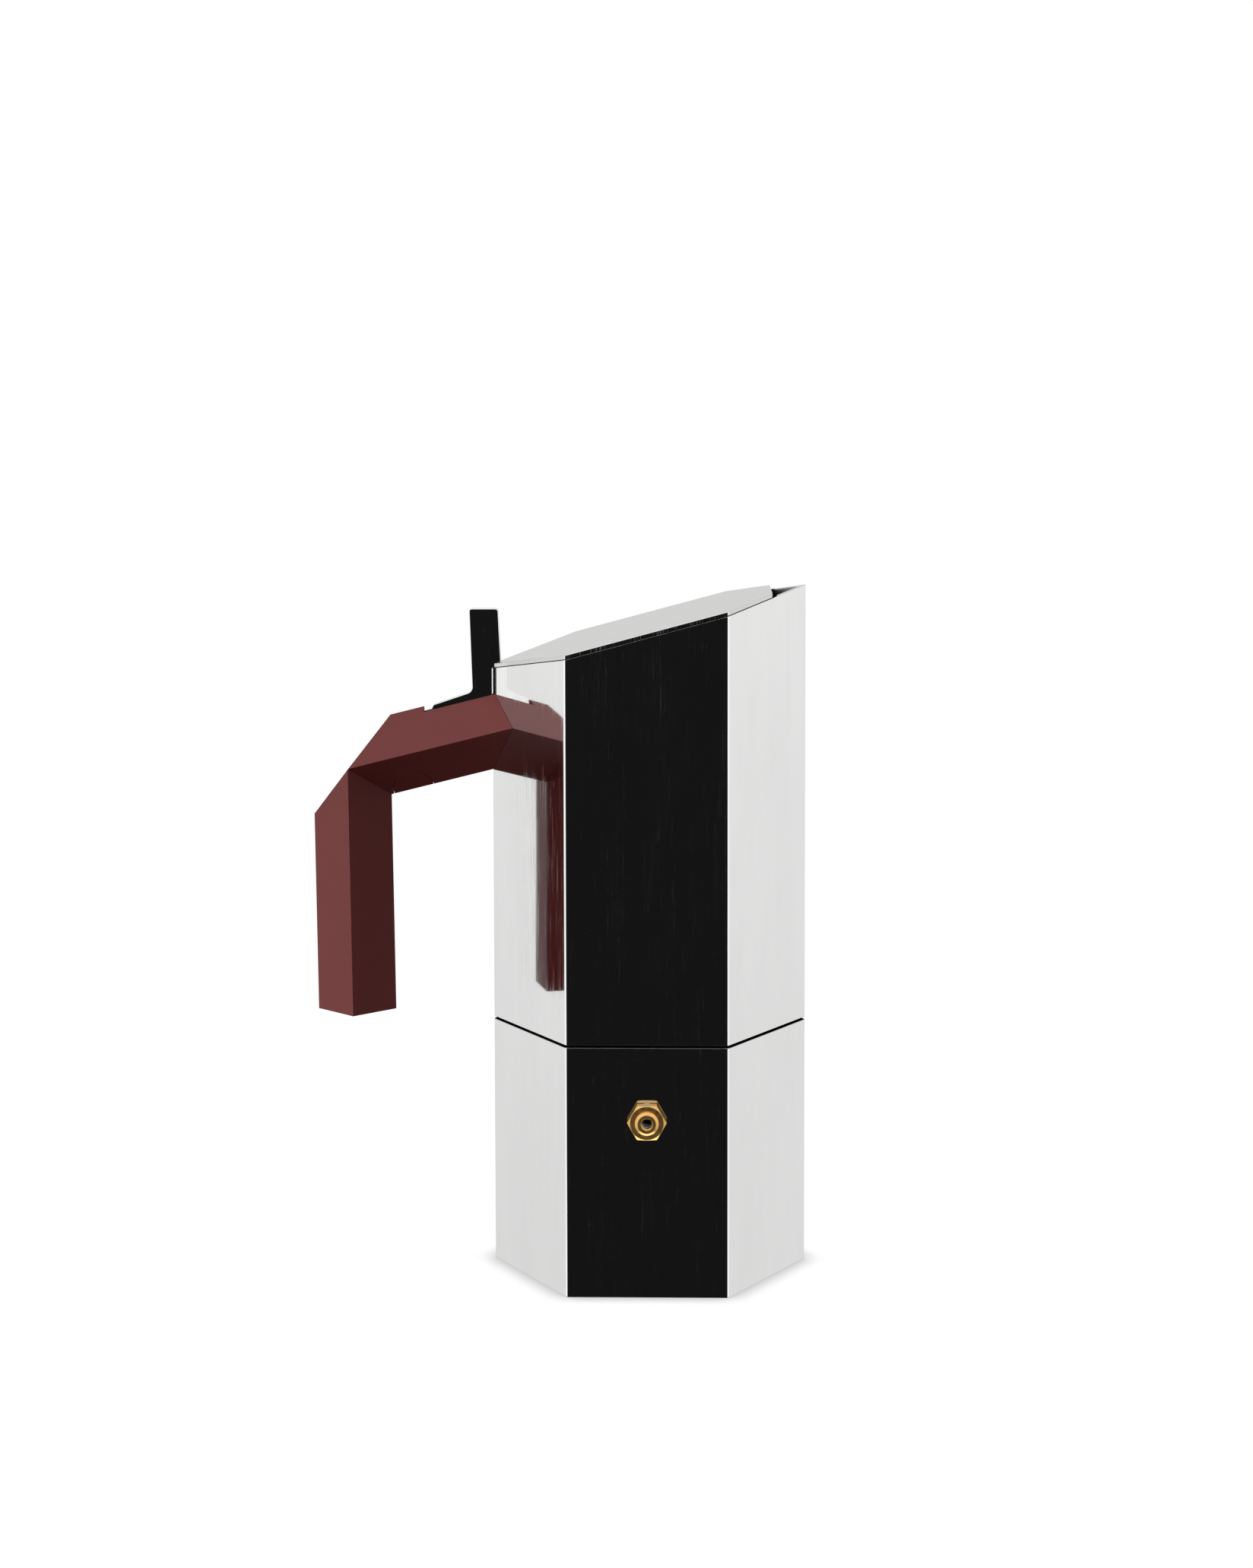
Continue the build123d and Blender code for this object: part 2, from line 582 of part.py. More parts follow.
# Pin of the lid's hinge, pressed in from the back of the handle.
with BuildPart() as hinge_pin:
    with BuildSketch(Plane.XZ.offset(PIN_FRONT - FIT_GAP)):
        with Locations((PIVOT_X, PIVOT_Z)):
            Circle(PIN_R)
    extrude(amount=-PIN_LENGTH)
    chamfer(hinge_pin.edges().filter_by(GeomType.CIRCLE), length=PIN_CHAMFER)
hinge_pin.part.label = "hinge_pin"
export_step(hinge_pin.part, "parts/hinge_pin.step")


def lid_lever():
    """Upright lever with the hinge's eye, a flat plate in the middle plane with softened edges."""
    with BuildPart() as lever:
        with BuildSketch(Plane.XZ) as outline:
            with BuildLine():
                Polyline(*LEVER_OUTLINE, close=True)
            make_face()
            with Locations((PIVOT_X, PIVOT_Z)):
                Circle(EYE_R)
            upright_foot = outline.vertices().sort_by_distance((LEVER_OUTLINE[-1][0], LEVER_OUTLINE[-1][1]))[0]
            fillet(upright_foot, radius=LEVER_FOOT_ROUND)
            fillet(outline.vertices().group_by(Axis.Y)[-1], radius=LEVER_TIP_ROUND)
        extrude(amount=LEVER_THICK / 2, both=True)
        sides = lever.faces().filter_by(Axis.Y)
        fillet(sides.edges(), radius=LEVER_EDGE_ROUND)
        with BuildSketch(Plane.XZ):
            with Locations((PIVOT_X, PIVOT_Z)):
                Circle(PIN_R + PIN_PLAY)
        extrude(amount=LEVER_THICK, both=True, mode=Mode.SUBTRACT)
    return lever.part


# Lid: flat plate on the slanted rim, with the upright lever that carries the hinge.
with BuildPart() as lid:
    with BuildSketch(Plane.XY.offset(COLUMN_TOP)) as plate_outline:
        RegularPolygon(radius=SIDE, side_count=6)
        fillet(plate_outline.vertices(), radius=EDGE_ROUND)
        with Locations((LID_CUT_X, 0)):
            Rectangle(SIDE, 2 * SIDE, align=(Align.MIN, Align.CENTER), mode=Mode.SUBTRACT)
        cut_corners = plate_outline.vertices().group_by(Axis.X)[-1]
        fillet(cut_corners, radius=LID_CORNER_ROUND)
    extrude(amount=2 * SIDE)
    split(bisect_by=slanted_plane(LID_BASE), keep=Keep.TOP)
    split(bisect_by=slanted_plane(LID_BASE + LID_THICK), keep=Keep.BOTTOM)
    plate_top = lid.faces().filter_by(slanted_plane(LID_BASE)).sort_by(Axis.Z)[-1]
    chamfer(plate_top.edges(), length=RIM_ROUND)
    add(lid_lever())
lid.part.label = "lid"
export_step(lid.part, "parts/lid.step")
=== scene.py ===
import math

import bmesh
import bpy
from mathutils import Matrix, Vector


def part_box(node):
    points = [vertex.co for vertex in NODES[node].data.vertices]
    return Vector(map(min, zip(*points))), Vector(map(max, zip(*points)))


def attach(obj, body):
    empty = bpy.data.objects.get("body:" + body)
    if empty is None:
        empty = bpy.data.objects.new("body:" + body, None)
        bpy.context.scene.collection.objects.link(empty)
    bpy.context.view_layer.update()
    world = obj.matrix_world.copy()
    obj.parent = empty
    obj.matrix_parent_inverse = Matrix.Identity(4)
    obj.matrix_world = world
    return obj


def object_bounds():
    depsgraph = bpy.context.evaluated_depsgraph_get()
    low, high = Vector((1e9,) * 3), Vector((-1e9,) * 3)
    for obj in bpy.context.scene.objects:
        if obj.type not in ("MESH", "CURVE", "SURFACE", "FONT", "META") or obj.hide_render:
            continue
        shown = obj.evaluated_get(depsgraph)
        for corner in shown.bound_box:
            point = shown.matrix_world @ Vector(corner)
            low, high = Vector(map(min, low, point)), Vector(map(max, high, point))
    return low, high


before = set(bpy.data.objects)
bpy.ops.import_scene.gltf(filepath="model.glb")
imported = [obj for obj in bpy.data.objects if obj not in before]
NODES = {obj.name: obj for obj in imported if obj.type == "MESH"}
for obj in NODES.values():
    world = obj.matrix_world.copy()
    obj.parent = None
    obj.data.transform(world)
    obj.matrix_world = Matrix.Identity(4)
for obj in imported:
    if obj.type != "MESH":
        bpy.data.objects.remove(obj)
cad_low, cad_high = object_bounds()

scene = bpy.context.scene

# Everything below is in metres, in the frame of the CAD model:
# +Z up, +X the spout, -X the handle, -Y the face with the valve.
MM = 0.001

# Camera, as the object is seen from slightly above, square to the face with the valve
CAMERA_AT = (0.01516, -0.87128, 0.25797)
CAMERA_PITCH = 0.0795          # radians, looking down
CAMERA_YAW = 0.0247            # radians, turned to -X
CAMERA_ROLL = -0.0021
CAMERA_LENS = 70.12            # mm on a 36 mm sensor
CAMERA_SHIFT = -0.11           # keeps the upright edges near parallel


def aim_camera():
    """Camera square to the front, with its own right, up and back directions."""
    ahead = Vector((-math.sin(CAMERA_YAW), math.cos(CAMERA_YAW), 0))
    side = Vector((math.cos(CAMERA_YAW), math.sin(CAMERA_YAW), 0))
    up = Vector((0, 0, 1))
    forward = ahead * math.cos(CAMERA_PITCH) - up * math.sin(CAMERA_PITCH)
    above = up * math.cos(CAMERA_PITCH) + ahead * math.sin(CAMERA_PITCH)
    right = side * math.cos(CAMERA_ROLL) + above * math.sin(CAMERA_ROLL)
    top = above * math.cos(CAMERA_ROLL) - side * math.sin(CAMERA_ROLL)
    data = bpy.data.cameras.new("camera")
    data.lens = CAMERA_LENS
    data.sensor_width = 36
    data.shift_y = CAMERA_SHIFT
    camera = bpy.data.objects.new("camera", data)
    scene.collection.objects.link(camera)
    turn = Matrix((right, top, -forward)).transposed()
    camera.matrix_world = Matrix.Translation(CAMERA_AT) @ turn.to_4x4()
    data.clip_start = 0.05
    data.clip_end = 20
    scene.camera = camera


# Node graph helpers


class Graph:
    """Short hand for making and linking shader nodes."""

    def __init__(self, tree):
        self.tree = tree
        tree.nodes.clear()

    def node(self, kind, **settings):
        made = self.tree.nodes.new(kind)
        for name, value in settings.items():
            setattr(made, name, value)
        return made

    def link(self, source, target):
        self.tree.links.new(source, target)

    def put(self, value, socket):
        """A socket takes a link or a plain value."""
        if isinstance(value, bpy.types.NodeSocket):
            self.link(value, socket)
        else:
            socket.default_value = value

    def math(self, operation, first, second=0.0):
        made = self.node("ShaderNodeMath", operation=operation)
        self.put(first, made.inputs[0])
        self.put(second, made.inputs[1])
        return made.outputs[0]

    def ramp(self, value, low, high, out_low, out_high, smooth=False):
        """Map a range of values to another range, held at its ends."""
        made = self.node("ShaderNodeMapRange")
        made.interpolation_type = "SMOOTHSTEP" if smooth else "LINEAR"
        self.put(value, made.inputs["Value"])
        self.put(low, made.inputs["From Min"])
        self.put(high, made.inputs["From Max"])
        self.put(out_low, made.inputs["To Min"])
        self.put(out_high, made.inputs["To Max"])
        return made.outputs[0]

    def mix(self, share, first, second):
        """Mix two colours."""
        made = self.node("ShaderNodeMix", data_type="RGBA")
        self.put(share, made.inputs[0])
        self.put(first, made.inputs[6])
        self.put(second, made.inputs[7])
        return made.outputs[2]

    def place(self, scale=(1, 1, 1)):
        """Position on the object in metres, stretched by a scale."""
        coords = self.node("ShaderNodeTexCoord")
        mapping = self.node("ShaderNodeMapping")
        mapping.inputs["Scale"].default_value = scale
        self.link(coords.outputs["Object"], mapping.inputs["Vector"])
        return mapping.outputs[0]

    def noise(self, place, scale, detail=2.0, roughness=0.5):
        made = self.node("ShaderNodeTexNoise")
        self.link(place, made.inputs["Vector"])
        made.inputs["Scale"].default_value = scale
        made.inputs["Detail"].default_value = detail
        made.inputs["Roughness"].default_value = roughness
        return made.outputs["Fac"]

    def bump(self, height, strength, distance):
        made = self.node("ShaderNodeBump")
        made.inputs["Strength"].default_value = strength
        made.inputs["Distance"].default_value = distance
        self.link(height, made.inputs["Height"])
        return made.outputs["Normal"]


def new_material(name):
    material = bpy.data.materials.new(name)
    material.use_nodes = True
    graph = Graph(material.node_tree)
    shader = graph.node("ShaderNodeBsdfPrincipled")
    output = graph.node("ShaderNodeOutputMaterial")
    graph.link(shader.outputs["BSDF"], output.inputs["Surface"])
    return material, graph, shader.inputs


# Studio


def studio_light():
    """White soft box all round; polished surfaces also show a dark side in front and a dark table below."""
    world = bpy.data.worlds.new("studio")
    scene.world = world
    world.use_nodes = True
    world.cycles.sampling_method = "NONE"
    graph = Graph(world.node_tree)
    coords = graph.node("ShaderNodeTexCoord")
    axes = graph.node("ShaderNodeSeparateXYZ")
    graph.link(coords.outputs["Generated"], axes.inputs[0])
    x, y, z = axes.outputs
    flat = graph.math("SQRT", graph.math("ADD", graph.math("MULTIPLY", x, x), graph.math("MULTIPLY", y, y)))
    front = graph.math("DIVIDE", graph.math("MULTIPLY", y, -1.0), graph.math("MAXIMUM", flat, 0.001))

    # what polished surfaces mirror: dark in front and below, bright at the sides, greyer at the back
    back_to_side = graph.ramp(front, -1.0, -0.3, 0.66, 0.86)
    side_to_front = graph.ramp(front, -0.3, 0.3, 0.0, 0.26, smooth=True)
    bright = graph.math("ADD", back_to_side, side_to_front)
    dark = graph.ramp(front, 0.5, 0.75, 0.0, 1.0, smooth=True)
    overhead = graph.ramp(z, 0.15, 0.45, 0.0, 1.0, smooth=True)
    dark = graph.math("MULTIPLY", dark, graph.math("SUBTRACT", 1.0, overhead))
    below = graph.ramp(z, -0.9, -0.5, 1.0, 0.0, smooth=True)
    dark = graph.math("MULTIPLY", graph.math("MAXIMUM", dark, below), 0.993)
    height = graph.ramp(z, -0.28, -0.06, 0.96, 1.08)
    bright = graph.math("MULTIPLY", bright, height)
    mirrored = graph.math("MULTIPLY", bright, graph.math("SUBTRACT", 1.0, dark))

    # what lights matt surfaces: key from the upper left, next to nothing from below
    key = graph.math(
        "ADD",
        graph.math("ADD", graph.math("MULTIPLY", x, -0.77), graph.math("MULTIPLY", y, -0.25)),
        graph.math("MULTIPLY", z, 0.59),
    )
    lit = graph.ramp(key, 0.21, 1.0, 0.01, 2.55)

    rays = graph.node("ShaderNodeLightPath")
    level = graph.node("ShaderNodeMix", data_type="FLOAT")
    graph.link(rays.outputs["Is Glossy Ray"], level.inputs[0])
    graph.link(lit, level.inputs[2])
    graph.link(mirrored, level.inputs[3])
    seen = graph.node("ShaderNodeMix", data_type="FLOAT")
    graph.link(rays.outputs["Is Camera Ray"], seen.inputs[0])
    graph.link(level.outputs[0], seen.inputs[2])
    seen.inputs[3].default_value = 1.0
    background = graph.node("ShaderNodeBackground")
    background.inputs["Color"].default_value = (1, 1, 1, 1)
    graph.link(seen.outputs[0], background.inputs["Strength"])
    output = graph.node("ShaderNodeOutputWorld")
    graph.link(background.outputs[0], output.inputs["Surface"])


def valve_card():
    """Small light card under the valve, which only the valve's brass picks up."""
    low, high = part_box("valve_body")
    data = bpy.data.lights.new("valve_card", "AREA")
    data.shape = "RECTANGLE"
    data.size = 24 * MM
    data.size_y = 12 * MM
    data.energy = 0.0025
    card = bpy.data.objects.new("valve_card", data)
    card.location = ((low.x + high.x) / 2, low.y, low.z - 12 * MM)
    card.rotation_euler.x = math.pi
    card.visible_camera = False
    scene.collection.objects.link(card)
    lit_pieces = bpy.data.collections.new("lit_by_valve_card")
    for name in ("valve_body", "valve_retainer"):
        lit_pieces.objects.link(NODES[name])
    card.light_linking.receiver_collection = lit_pieces


def pale_floor():
    """White floor with a soft shadow where the object touches it."""
    size = 6.0
    mesh = bpy.data.meshes.new("floor")
    corners = [(-size, -size, 0), (size, -size, 0), (size, size, 0), (-size, size, 0)]
    mesh.from_pydata(corners, [], [(0, 1, 2, 3)])
    floor = bpy.data.objects.new("floor", mesh)
    floor.location.z = cad_low.z - 0.05 * MM
    scene.collection.objects.link(floor)
    floor.visible_diffuse = False
    floor.visible_glossy = False
    floor.visible_shadow = False
    material = bpy.data.materials.new("floor")
    material.use_nodes = True
    graph = Graph(material.node_tree)
    contact = graph.node("ShaderNodeAmbientOcclusion", samples=16)
    contact.inputs["Distance"].default_value = 7 * MM
    glow = graph.node("ShaderNodeEmission")
    glow.inputs["Color"].default_value = (1, 1, 1, 1)
    graph.link(graph.ramp(contact.outputs["AO"], 0.45, 0.97, 0.58, 1.0), glow.inputs["Strength"])
    output = graph.node("ShaderNodeOutputMaterial")
    graph.link(glow.outputs[0], output.inputs["Surface"])
    mesh.materials.append(material)


# Materials


def polished_aluminium(name, colour=(0.92, 0.92, 0.915, 1), gloss=0.04, haze=0.21, hazy=0.565):
    """Aluminium polished along Z: a mirror crossed by hair-thin upright streaks that are duller."""
    material, graph, sockets = new_material(name)
    sockets["Metallic"].default_value = 1.0
    cloud = graph.noise(graph.place((1, 1, 0.25)), 70.0, 3.0, 0.55)
    darker = tuple(0.95 * value for value in colour[:3]) + (1,)
    graph.link(graph.mix(graph.ramp(cloud, 0.3, 0.7, 0.0, 1.0), darker, colour), sockets["Base Color"])
    streaks = graph.noise(graph.place((1, 1, 0.012)), 5200.0, 3.0, 0.6)
    patches = graph.noise(graph.place((1, 1, 0.06)), 420.0, 2.0, 0.5)
    dull = graph.math("ADD", graph.math("MULTIPLY", streaks, 0.8), graph.math("MULTIPLY", patches, 0.2))
    graph.link(graph.ramp(dull, hazy, hazy + 0.08, gloss, haze), sockets["Roughness"])
    wave = graph.noise(graph.place((1, 1, 0.2)), 160.0, 1.0, 0.4)
    relief = graph.math("ADD", graph.math("MULTIPLY", streaks, 0.05), wave)
    graph.link(graph.bump(relief, 0.35, 0.02 * MM), sockets["Normal"])
    return material


def satin_aluminium(name, colour=(0.80, 0.80, 0.795, 1), rough=0.42, depth=None):
    """Aluminium left as cast or blasted: a fine even grain, with painted shade darkening hollows of the
    given depth.
    """
    material, graph, sockets = new_material(name)
    sockets["Metallic"].default_value = 1.0
    place = graph.place()
    grain = graph.noise(place, 3500.0, 3.0, 0.6)
    cloud = graph.noise(place, 45.0, 3.0, 0.5)
    darker = tuple(0.86 * value for value in colour[:3]) + (1,)
    metal = graph.mix(cloud, darker, colour)
    if depth:
        open_air = graph.node("ShaderNodeAmbientOcclusion", samples=16)
        open_air.inputs["Distance"].default_value = depth
        # painted shade: ambient occlusion turns the base colour dark grey where the surroundings within the
        # given depth are closed in
        painted_hollow_shade = graph.ramp(open_air.outputs["AO"], 0.45, 0.98, 1.0, 0.0)
        metal = graph.mix(painted_hollow_shade, metal, (0.07, 0.07, 0.07, 1))
    graph.link(metal, sockets["Base Color"])
    graph.link(graph.ramp(grain, 0.3, 0.7, rough - 0.07, rough + 0.08), sockets["Roughness"])
    graph.link(graph.bump(grain, 0.35, 0.02 * MM), sockets["Normal"])
    return material


def joint_aluminium_painted_shade(name, closed):
    """Aluminium of a joint with painted shade: black where less of the air around it is open than the share
    `closed`.
    """
    material, graph, sockets = new_material(name)
    grain = graph.noise(graph.place(), 2500.0, 3.0, 0.6)
    open_air = graph.node("ShaderNodeAmbientOcclusion", samples=16)
    open_air.inputs["Distance"].default_value = 1.5 * MM
    light = graph.ramp(open_air.outputs["AO"], closed, 0.995, 0.0, 1.0)
    metal = graph.mix(grain, (0.62, 0.62, 0.61, 1), (0.78, 0.78, 0.77, 1))
    # painted shade: enclosed faces turn black and lose their metal shine, standing in for the shade inside
    # the gap
    graph.link(graph.mix(light, (0.004, 0.004, 0.004, 1), metal), sockets["Base Color"])
    graph.link(light, sockets["Metallic"])
    sockets["Specular IOR Level"].default_value = 0.0
    graph.link(graph.ramp(grain, 0.3, 0.7, 0.38, 0.52), sockets["Roughness"])
    return material


def moulded_plastic(name):
    """Dark red-brown thermoset with a very fine matt texture."""
    material, graph, sockets = new_material(name)
    place = graph.place()
    grain = graph.noise(place, 2600.0, 3.0, 0.65)
    cloud = graph.noise(place, 60.0, 4.0, 0.55)
    tone = graph.math("ADD", graph.math("MULTIPLY", grain, 0.4), graph.math("MULTIPLY", cloud, 0.6))
    graph.link(graph.mix(tone, (0.125, 0.014, 0.012, 1), (0.155, 0.021, 0.018, 1)), sockets["Base Color"])
    graph.link(graph.ramp(grain, 0.3, 0.7, 0.46, 0.60), sockets["Roughness"])
    graph.link(graph.bump(grain, 0.30, 0.02 * MM), sockets["Normal"])
    sockets["Specular IOR Level"].default_value = 0.34
    return material


def turned_brass(name):
    """Brass turned on a lathe about the valve's axis: fine rings, and painted shade deep in its bores."""
    material, graph, sockets = new_material(name)
    sockets["Metallic"].default_value = 0.93
    low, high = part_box("valve_body")
    coords = graph.node("ShaderNodeTexCoord")
    centred = graph.node("ShaderNodeVectorMath", operation="SUBTRACT")
    graph.link(coords.outputs["Object"], centred.inputs[0])
    centred.inputs[1].default_value = ((low.x + high.x) / 2, 0, (low.z + high.z) / 2)
    flat = graph.node("ShaderNodeVectorMath", operation="MULTIPLY")
    graph.link(centred.outputs[0], flat.inputs[0])
    flat.inputs[1].default_value = (1, 0, 1)
    radius = graph.node("ShaderNodeVectorMath", operation="LENGTH")
    graph.link(flat.outputs[0], radius.inputs[0])
    rings = graph.math("SINE", graph.math("MULTIPLY", radius.outputs["Value"], 2 * math.pi / (0.16 * MM)))
    stain = graph.noise(graph.place(), 900.0, 3.0, 0.6)
    brass = graph.mix(stain, (0.66, 0.35, 0.09, 1), (0.90, 0.58, 0.21, 1))
    open_air = graph.node("ShaderNodeAmbientOcclusion", samples=8)
    open_air.inputs["Distance"].default_value = 4 * MM
    # painted shade: ambient occlusion turns the brass near black deep in its bores
    painted_bore_shade = graph.ramp(open_air.outputs["AO"], 0.15, 0.5, 1.0, 0.0)
    graph.link(graph.mix(painted_bore_shade, brass, (0.012, 0.007, 0.004, 1)), sockets["Base Color"])
    graph.link(graph.ramp(stain, 0.3, 0.7, 0.26, 0.42), sockets["Roughness"])
    height = graph.math("ADD", graph.math("MULTIPLY", rings, 0.5), stain)
    graph.link(graph.bump(height, 0.35, 0.01 * MM), sockets["Normal"])
    return material


def machined_steel(name):
    """Plain steel with slight tool marks."""
    material, graph, sockets = new_material(name)
    sockets["Metallic"].default_value = 1.0
    place = graph.place()
    mark = graph.noise(place, 1800.0, 3.0, 0.6)
    graph.link(graph.mix(mark, (0.45, 0.45, 0.46, 1), (0.66, 0.66, 0.67, 1)), sockets["Base Color"])
    graph.link(graph.ramp(mark, 0.3, 0.7, 0.22, 0.40), sockets["Roughness"])
    graph.link(graph.bump(mark, 0.2, 0.01 * MM), sockets["Normal"])
    return material


def seal_rubber(name):
    """Off-white food-grade rubber."""
    material, graph, sockets = new_material(name)
    place = graph.place()
    grain = graph.noise(place, 1400.0, 3.0, 0.6)
    cloud = graph.noise(place, 70.0, 3.0, 0.6)
    graph.link(graph.mix(cloud, (0.70, 0.67, 0.60, 1), (0.80, 0.78, 0.72, 1)), sockets["Base Color"])
    graph.link(graph.ramp(grain, 0.3, 0.7, 0.50, 0.66), sockets["Roughness"])
    graph.link(graph.bump(grain, 0.25, 0.02 * MM), sockets["Normal"])
    return material


def dress(material, *nodes):
    for name in nodes:
        mesh = NODES[name].data
        mesh.materials.clear()
        mesh.materials.append(material)


def dress_where(name, material, chosen):
    """Give the faces of a CAD piece for which chosen(centre, normal) holds a material of their own."""
    mesh = NODES[name].data
    mesh.materials.append(material)
    index = len(mesh.materials) - 1
    for face in mesh.polygons:
        if chosen(face.center, face.normal):
            face.material_index = index


# Sizes of the body: boxes and levels read from the CAD pieces, the rest set here
BOILER_LOW, BOILER_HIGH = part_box("boiler")
COLLECTOR_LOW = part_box("collector")[0]
APOTHEM = (BOILER_HIGH.y - BOILER_LOW.y) / 2
SEAM_GAP = 0.6 * MM            # between boiler and collector
SEAM_BEVEL = 0.2 * MM          # a little more than the bevels beside it
SHOULDER_Z = COLLECTOR_LOW.z - SEAM_GAP
SKIN = 1.2 * MM                # faces further in than this are inside the vessels
BASE_SKIN = 1.0 * MM           # and faces this far over the boiler's underside
RIM_SLOPE = math.radians(15)   # rising towards the spout
RIM_UP = Vector((-math.sin(RIM_SLOPE), 0, math.cos(RIM_SLOPE)))
RIM_LEVEL = max(vertex.co.dot(RIM_UP) for vertex in NODES["collector"].data.vertices)
RIM_BEVEL = 0.13 * MM          # a little more than the rim's rounding
LID_MIDDLE = 0.6 * MM          # heights over the rim
LID_UPPER = 1.4 * MM
THREAD_PITCH = 3.0 * MM
THREAD_HALF = 0.9 * MM         # half the width of the ridge's foot
THREAD_STEPS = 72              # per turn
THREAD_LEAD = 1.6 * MM         # plain part before a thread starts
NECK_RELIEF = 1.8 * MM         # and at the foot of the neck
NECK_RIDGE = 0.35 * MM         # heights of the ridges
SKIRT_RIDGE = 0.22 * MM
SKIRT_REACH = 8.0 * MM         # height of the skirt's threaded part
PROBE = 0.5 * MM               # how far past the joint the neck and the skirt are looked for


def out_of_axis(point):
    """How far a point lies from the axis, measured square to the nearest side of the hexagon."""
    angles = (math.radians(30), math.radians(90), math.radians(150))
    return max(abs(point.x * math.cos(angle) + point.y * math.sin(angle)) for angle in angles)


def in_joint(centre, normal):
    """Level and bevelled faces of the joint between boiler and collector."""
    return abs(normal.z) > 0.3 and SHOULDER_Z - SEAM_BEVEL < centre.z < COLLECTOR_LOW.z + SEAM_BEVEL


def above_rim(point):
    """Height over the slanted rim, square to it."""
    return point.dot(RIM_UP) - RIM_LEVEL


def at_rim(centre, normal):
    """Top of the rim with its small rounding."""
    return above_rim(centre) > -RIM_BEVEL and normal.dot(RIM_UP) > 0.2


def lid_underside(centre, normal):
    """Face of the lid's plate that lies over the rim."""
    return normal.dot(RIM_UP) < -0.9 and 0 < above_rim(centre) < LID_MIDDLE


def lid_top(centre, normal):
    """Upper face of the lid's plate and its edge."""
    return normal.dot(RIM_UP) > -0.5 and 0 < above_rim(centre) < LID_UPPER


def inside_vessel(centre, normal):
    """Faces inside boiler or collector, and the boiler's neck."""
    inner = out_of_axis(centre) < APOTHEM - SKIN
    return inner and centre.z > BOILER_LOW.z + BASE_SKIN and normal.dot(RIM_UP) < 0.99


def sweep_thread(name, radius, height, start, stop):
    """Thread ridge wound about Z, fading out at both ends; a negative height points to the axis."""
    turns = (stop - start) / THREAD_PITCH
    count = int(turns * THREAD_STEPS)
    half = THREAD_HALF
    root = radius - math.copysign(0.05 * MM, height)
    mesh = bmesh.new()
    rings = []
    for step in range(count + 1):
        angle = 2 * math.pi * step / THREAD_STEPS
        share = min(1.0, 10 * step / count, 10 * (count - step) / count)
        top = radius + height * max(share, 0.02)
        z = start + THREAD_PITCH * step / THREAD_STEPS
        ring = []
        for distance, rise in ((root, -half), (top, -0.2 * half), (top, 0.2 * half), (root, half)):
            spot = (distance * math.cos(angle), distance * math.sin(angle), z + rise)
            ring.append(mesh.verts.new(spot))
        rings.append(ring)
    for first, second in zip(rings, rings[1:]):
        for corner in range(4):
            after = (corner + 1) % 4
            mesh.faces.new((first[corner], second[corner], second[after], first[after]))
    mesh.faces.new(rings[0])
    mesh.faces.new(list(reversed(rings[-1])))
    bmesh.ops.recalc_face_normals(mesh, faces=mesh.faces)
    data = bpy.data.meshes.new(name)
    mesh.to_mesh(data)
    mesh.free()
    piece = bpy.data.objects.new(name, data)
    scene.collection.objects.link(piece)
    return piece


def add_threads(material):
    """Right-handed thread on the boiler's neck and in the collector's skirt."""
    neck_from = SHOULDER_Z + PROBE
    skirt_to = COLLECTOR_LOW.z + PROBE
    neck = [vertex.co for vertex in NODES["boiler"].data.vertices if vertex.co.z > neck_from]
    skirt = [vertex.co for vertex in NODES["collector"].data.vertices if vertex.co.z < skirt_to]
    neck_radius = max(spot.xy.length for spot in neck)
    skirt_radius = min(spot.xy.length for spot in skirt)
    neck_start = SHOULDER_Z + NECK_RELIEF
    skirt_start = COLLECTOR_LOW.z + THREAD_LEAD
    male = sweep_thread("boiler_thread", neck_radius, NECK_RIDGE, neck_start, BOILER_HIGH.z - THREAD_LEAD)
    male.data.materials.append(material)
    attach(male, "boiler")
    female = sweep_thread(
        "collector_thread", skirt_radius, -SKIRT_RIDGE, skirt_start, COLLECTOR_LOW.z + SKIRT_REACH
    )
    female.data.materials.append(material)
    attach(female, "collector")


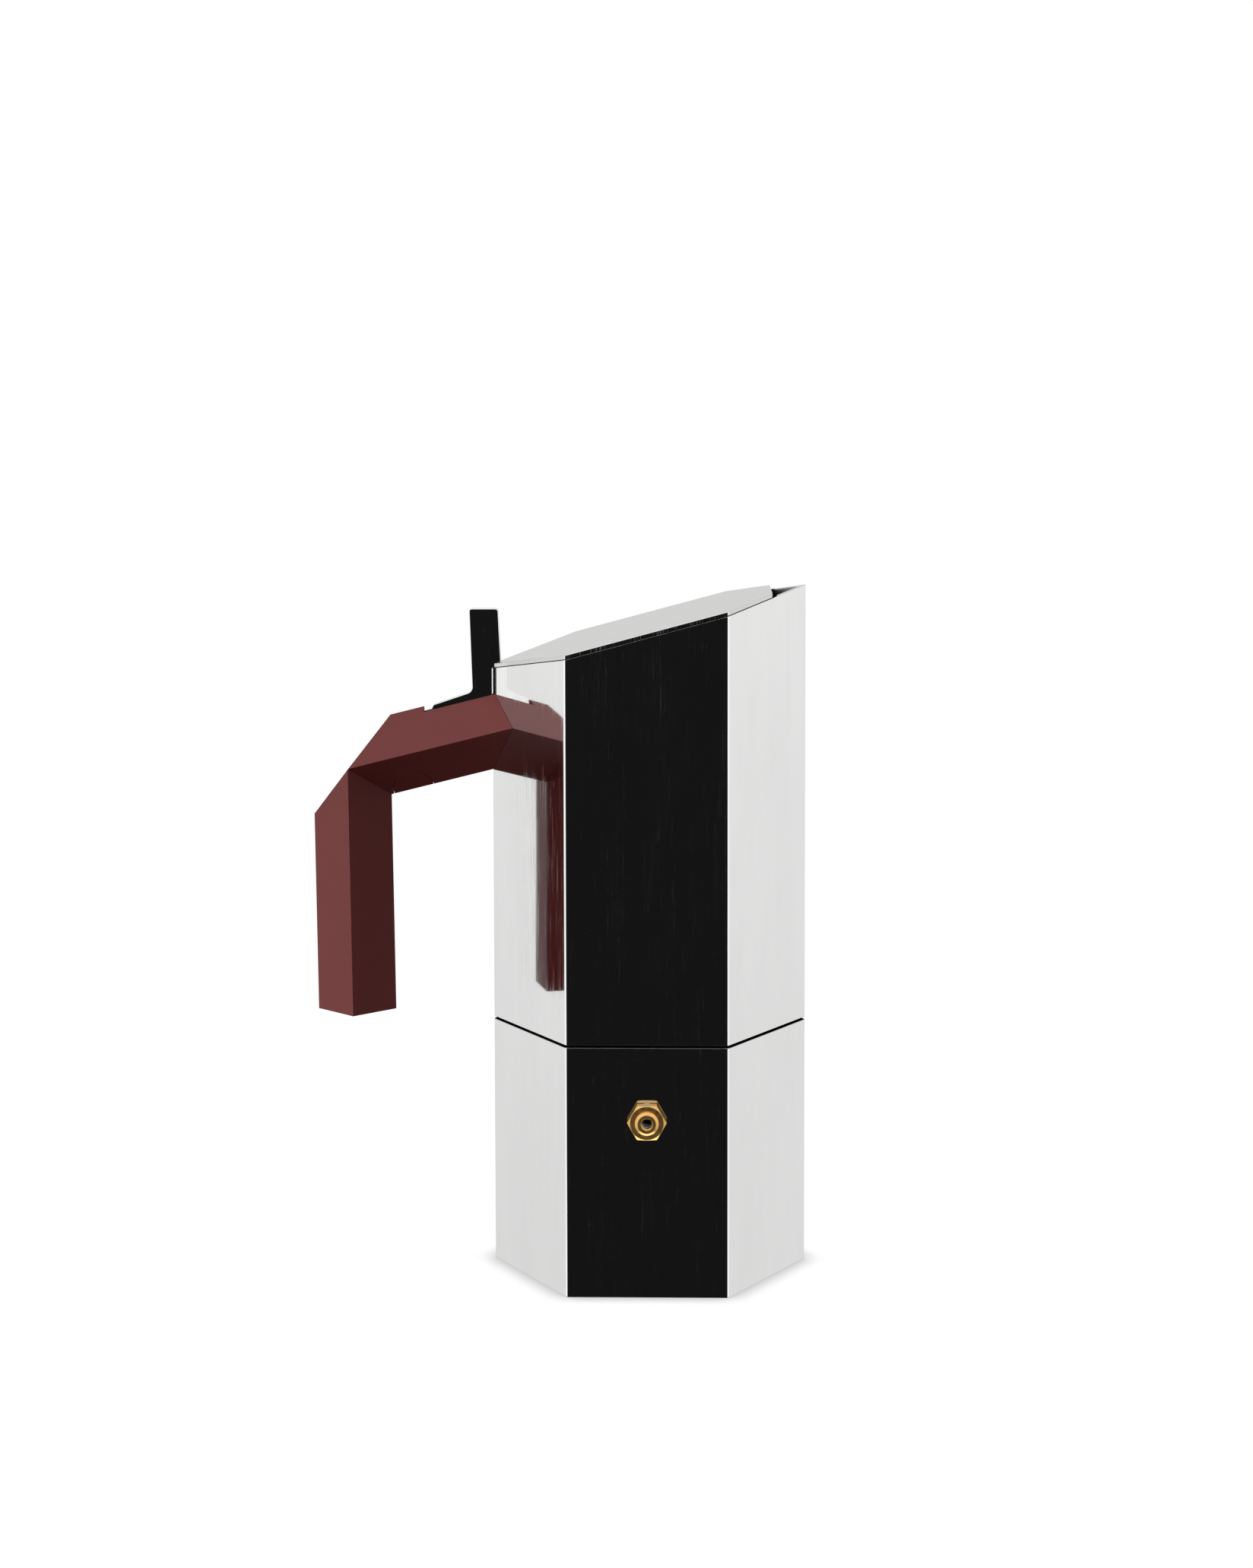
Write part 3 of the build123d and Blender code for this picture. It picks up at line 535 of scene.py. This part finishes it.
def soften(name, width, angle=25.0):
    """Round the sharp edges of a CAD piece with modifiers, its own vertices stay as they are."""
    piece = NODES[name]
    weld = piece.modifiers.new("weld", "WELD")
    weld.merge_threshold = 0.002 * MM
    flatten = piece.modifiers.new("flatten", "DECIMATE")
    flatten.decimate_type = "DISSOLVE"
    flatten.angle_limit = math.radians(1.0)
    bevel = piece.modifiers.new("bevel", "BEVEL")
    bevel.width = width
    bevel.segments = 3
    bevel.limit_method = "ANGLE"
    bevel.angle_limit = math.radians(angle)
    bevel.use_clamp_overlap = True
    bevel.harden_normals = True


aim_camera()
scene.view_settings.view_transform = "Standard"
studio_light()
valve_card()
pale_floor()

bright_metal = polished_aluminium("polished_aluminium")
cast_metal = satin_aluminium("cast_aluminium")
# painted shade inside the vessels: faces darken towards dark grey the deeper they sit
inner_metal = satin_aluminium("inner_aluminium", depth=30 * MM)
# painted shade on the joint between boiler and collector, on the rim's top and on the lid's underside, where
# the parts close over them
joint_metal = joint_aluminium_painted_shade("joint_aluminium_painted_shade", closed=0.82)
rim_metal = joint_aluminium_painted_shade("rim_aluminium_painted_shade", closed=0.93)
dress(bright_metal, "boiler", "collector", "lid")
dress_where("lid", polished_aluminium("lid_aluminium", (0.75, 0.745, 0.73, 1), 0.10, 0.38, 0.55), lid_top)
dress_where("lid", rim_metal, lid_underside)
for vessel in ("boiler", "collector"):
    dress_where(vessel, inner_metal, inside_vessel)
    dress_where(vessel, joint_metal, in_joint)
dress_where("collector", rim_metal, at_rim)
dress(cast_metal, "column")
add_threads(cast_metal)
sheet_metal = satin_aluminium("sheet_aluminium", (0.84, 0.84, 0.84, 1), 0.30)
dress(sheet_metal, "funnel", "funnel_screen", "filter_plate")
dress(moulded_plastic("handle_plastic"), "handle", "handle_screw_cap")
soften("handle", 0.35 * MM)
dress(turned_brass("turned_brass"), "valve_body", "valve_retainer", "valve_plunger")
dress(machined_steel("machined_steel"), "handle_screw", "handle_lock_washer", "hinge_pin", "valve_spring")
dress(seal_rubber("seal_rubber"), "gasket", "valve_seal", "valve_washer")
